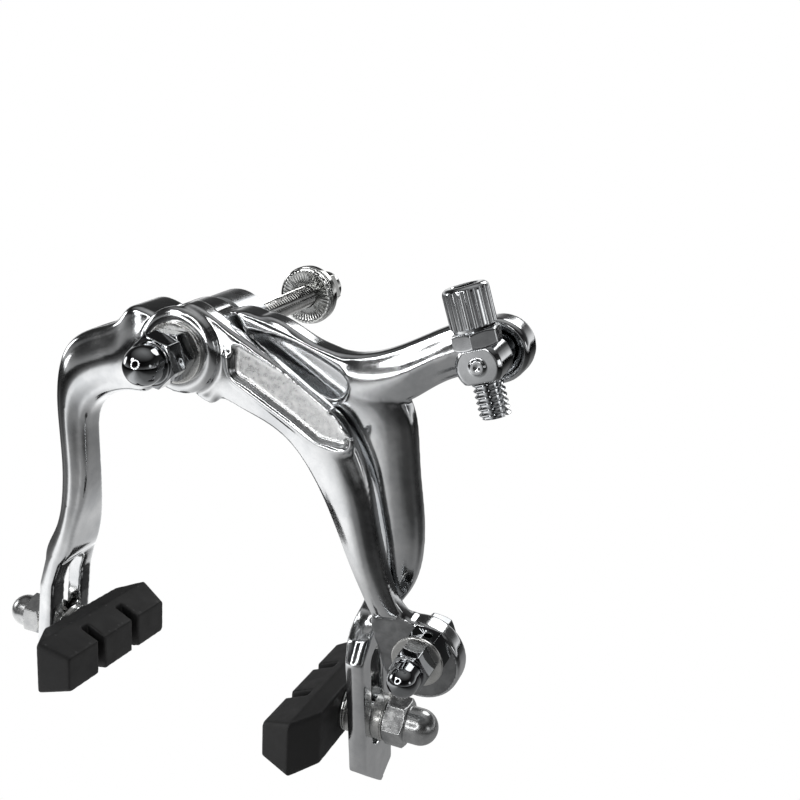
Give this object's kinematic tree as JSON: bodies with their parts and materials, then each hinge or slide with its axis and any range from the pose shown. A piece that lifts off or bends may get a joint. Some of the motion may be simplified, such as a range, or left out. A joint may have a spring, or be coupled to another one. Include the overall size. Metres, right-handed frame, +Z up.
{
  "type": "side-pull caliper brake",
  "caption": "Side-pull caliper brake with two polished forged arms on one centre bolt, slotted arm ends with rubber shoes, a cable anchor and a threaded adjuster.",
  "frame": {"origin": "On the centre bolt's axis, at the back face of the pivot block, which seats against the fork crown.", "axes": "X across the bicycle, to the right in a front view; Y along the centre bolt, back into the fork; Z up, away from the tyre."},
  "size_m": [0.1466, 0.1003, 0.1344],
  "materials": {
    "polished_aluminium": "mirror polished and clear anodised forged aluminium",
    "block_aluminium": "satin anodised turned aluminium",
    "chromed_steel": "bright chrome plate",
    "bright_steel": "bright nickel plated washers",
    "bolt_steel": "bright zinc plated bolt",
    "zinc_plated_steel": "dull zinc plate",
    "spring_steel": "bright zinc plated spring wire",
    "shoe_rubber": "matte moulded rubber"
  },
  "bodies": {
    "pivot": {"centre_bolt": "bolt_steel", "pivot_block": "block_aluminium", "return_spring": "spring_steel", "rear_boss_washer": "bright_steel", "middle_boss_washer": "bright_steel", "front_washer": "bright_steel", "jam_nut": "chromed_steel", "front_acorn_nut": "chromed_steel", "toothed_washer": "zinc_plated_steel", "seat_ring": "zinc_plated_steel", "lock_nut": "zinc_plated_steel"},
    "front_arm": {"front_arm": "polished_aluminium", "left_shoe": "shoe_rubber", "left_shoe_stud": "zinc_plated_steel", "left_outer_dished_washer": "bright_steel", "left_outer_domed_washer": "bright_steel", "left_inner_dished_washer": "bright_steel", "left_inner_domed_washer": "bright_steel", "left_acorn_nut": "chromed_steel"},
    "rear_arm": {"rear_arm": "polished_aluminium", "right_shoe": "shoe_rubber", "right_shoe_stud": "zinc_plated_steel", "right_outer_dished_washer": "bright_steel", "right_outer_domed_washer": "bright_steel", "right_inner_dished_washer": "bright_steel", "right_inner_domed_washer": "bright_steel", "right_acorn_nut": "chromed_steel"},
    "cable_anchor": {"anchor_bolt": "chromed_steel", "anchor_washer": "bright_steel", "anchor_acorn_nut": "chromed_steel", "anchor_rear_nut": "chromed_steel"},
    "adjuster_swivel": {"adjuster_swivel": "chromed_steel", "swivel_washer": "bright_steel", "adjuster_lock_nut": "chromed_steel"},
    "adjuster_barrel": {"adjuster_barrel": "chromed_steel"}
  },
  "joints": [
    {"name": "front_arm_pivot", "type": "hinge", "parent": "pivot", "child": "front_arm", "pos_m": [0, -0.02635, 0], "axis": [0, 1, 0], "range_deg": [-12, 0], "stiffness_Nm_per_rad": 1.5, "springref_deg": 22.92, "deforming": ["return_spring"]},
    {"name": "rear_arm_pivot", "type": "hinge", "parent": "pivot", "child": "rear_arm", "pos_m": [0, -0.01705, 0], "axis": [0, 1, 0], "range_deg": [0, 12], "stiffness_Nm_per_rad": 1.5, "springref_deg": -22.92, "deforming": ["return_spring"]},
    {"name": "cable_anchor_turn", "type": "hinge", "parent": "front_arm", "child": "cable_anchor", "pos_m": [0.0632, -0.0238, -0.0637], "axis": [0, 1, 0], "range_deg": [-30, 30]},
    {"name": "adjuster_swivel_turn", "type": "hinge", "parent": "rear_arm", "child": "adjuster_swivel", "pos_m": [0.0728, -0.0187, 0.0072], "axis": [0, 1, 0], "range_deg": [-20, 20]},
    {"name": "adjuster_barrel_travel", "type": "slide", "parent": "adjuster_swivel", "child": "adjuster_barrel", "axis": [-0.3123, 0, 0.95], "range_m": [0, 0.006]}
  ]
}
